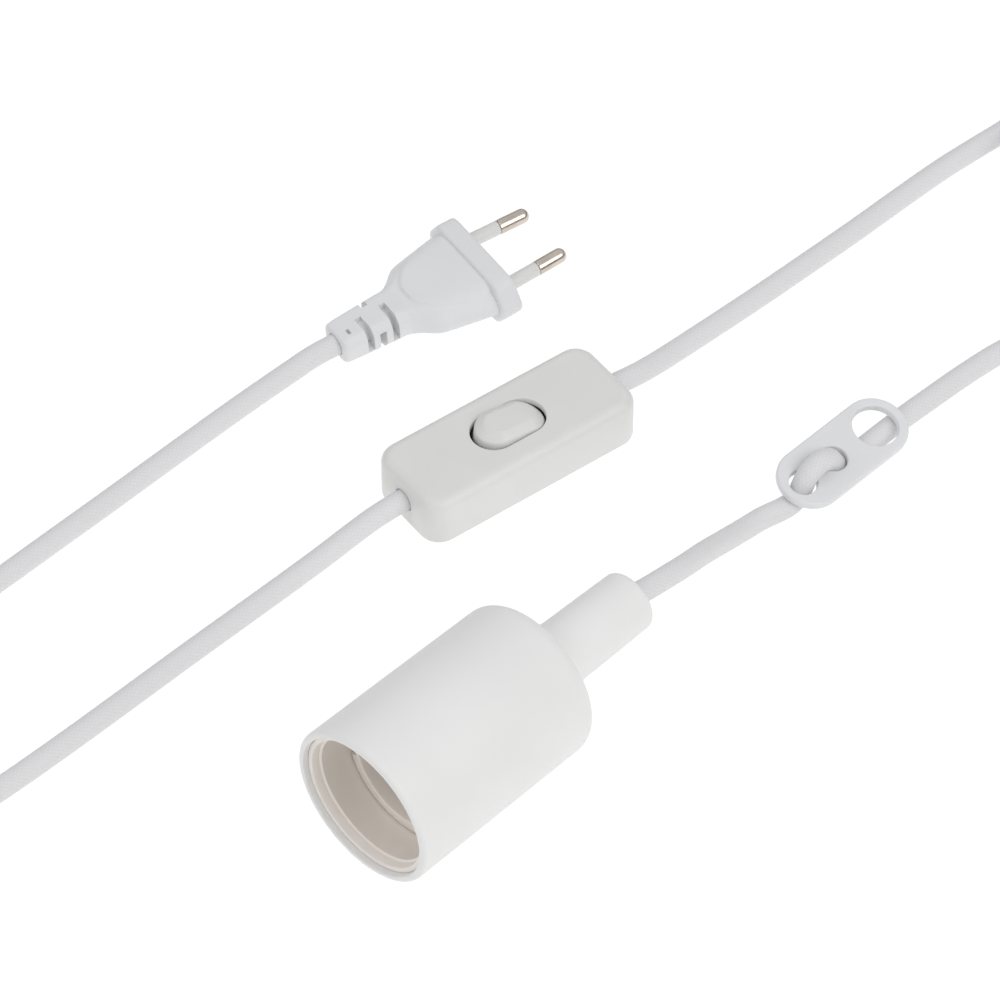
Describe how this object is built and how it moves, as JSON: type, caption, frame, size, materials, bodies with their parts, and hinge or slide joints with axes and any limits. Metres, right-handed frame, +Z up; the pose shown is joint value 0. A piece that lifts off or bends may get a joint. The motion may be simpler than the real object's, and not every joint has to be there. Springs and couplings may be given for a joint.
{
  "type": "pendant lamp cord set",
  "caption": "Pendant lamp cord set: a moulded europlug, round braided cable with an in-line rocker switch, a cord adjuster for hanging, and an E27 lampholder in a soft white silicone cover.",
  "frame": {"origin": "on the surface the set lies on, under the middle of the lampholder", "axes": "+X along the lampholder from its mouth to its neck, +Y towards the switch and plug, +Z up"},
  "size_m": [0.4785, 0.1818, 0.0427],
  "materials": {
    "silicone": "matt silicone",
    "white_plastic": "satin moulded ABS",
    "moulding": "matt moulded PVC",
    "adjuster_plastic": "satin moulded plastic",
    "cream_plastic": "matt thermoplastic",
    "nylon": "natural nylon",
    "nickel": "nickel plated",
    "brass": "bright",
    "steel": "zinc plated",
    "braid": "woven textile",
    "brown_core": "PVC",
    "blue_core": "PVC"
  },
  "bodies": {
    "cord_set": {"holder_cover": "silicone", "holder_skirt": "cream_plastic", "holder_cap": "cream_plastic", "holder_insert": "cream_plastic", "screw_shell": "nickel", "live_terminal": "brass", "neutral_terminal": "brass", "live_terminal_screw": "steel", "neutral_terminal_screw": "steel", "cord_grip": "nylon", "cord_grip_screw": "steel", "holder_live_core": "brown_core", "holder_neutral_core": "blue_core", "switch_top": "white_plastic", "switch_base": "white_plastic", "fulcrum_terminal": "brass", "fixed_terminal": "brass", "neutral_connector": "brass", "cord_clamp_left": "nylon", "cord_clamp_right": "nylon", "live_in_screw": "steel", "live_out_screw": "steel", "neutral_in_screw": "steel", "neutral_out_screw": "steel", "clamp_screw_left_front": "steel", "clamp_screw_left_back": "steel", "clamp_screw_right_front": "steel", "clamp_screw_right_back": "steel", "housing_screw_left": "steel", "housing_screw_right": "steel", "switch_live_core_in": "brown_core", "switch_live_core_out": "brown_core", "switch_neutral_core_in": "blue_core", "switch_neutral_core_out": "blue_core", "plug_body": "moulding", "plug_bridge": "moulding", "plug_live_core": "brown_core", "plug_neutral_core": "blue_core", "pin_left": "nickel", "pin_right": "nickel", "pin_sleeve_left": "white_plastic", "pin_sleeve_right": "white_plastic", "cord_adjuster": "adjuster_plastic", "cord_to_plug": "braid", "cord_into_switch": "braid", "cord_out_of_switch": "braid", "cord_to_lampholder": "braid", "coil_left": "braid", "coil_right": "braid", "coil_tie_left": "nylon", "coil_tie_right": "nylon"},
    "rocker": {"rocker": "white_plastic", "rocker_spring": "steel", "rocker_plunger": "nylon"},
    "seesaw": {"seesaw_contact": "brass"},
    "lamp_contact": {"center_contact": "brass"}
  },
  "joints": [
    {"name": "rocker_tilt", "type": "hinge", "parent": "cord_set", "child": "rocker", "pos_m": [0.07085, 0.06635, 0.0102], "axis": [0.1547, 0.988, 0], "range_deg": [-16, 0]},
    {"name": "seesaw_tilt", "type": "hinge", "parent": "cord_set", "child": "seesaw", "pos_m": [0.07085, 0.06635, 0.0035], "axis": [0.1547, 0.988, 0], "range_deg": [0, 12]},
    {"name": "contact_press", "type": "slide", "parent": "cord_set", "child": "lamp_contact", "axis": [1, 0, 0], "range_m": [0, 0.0015], "stiffness_N_per_m": 2000}
  ],
  "couplings": [
    {"joint": "seesaw_tilt", "follows": "rocker_tilt", "ratio": -0.75}
  ]
}
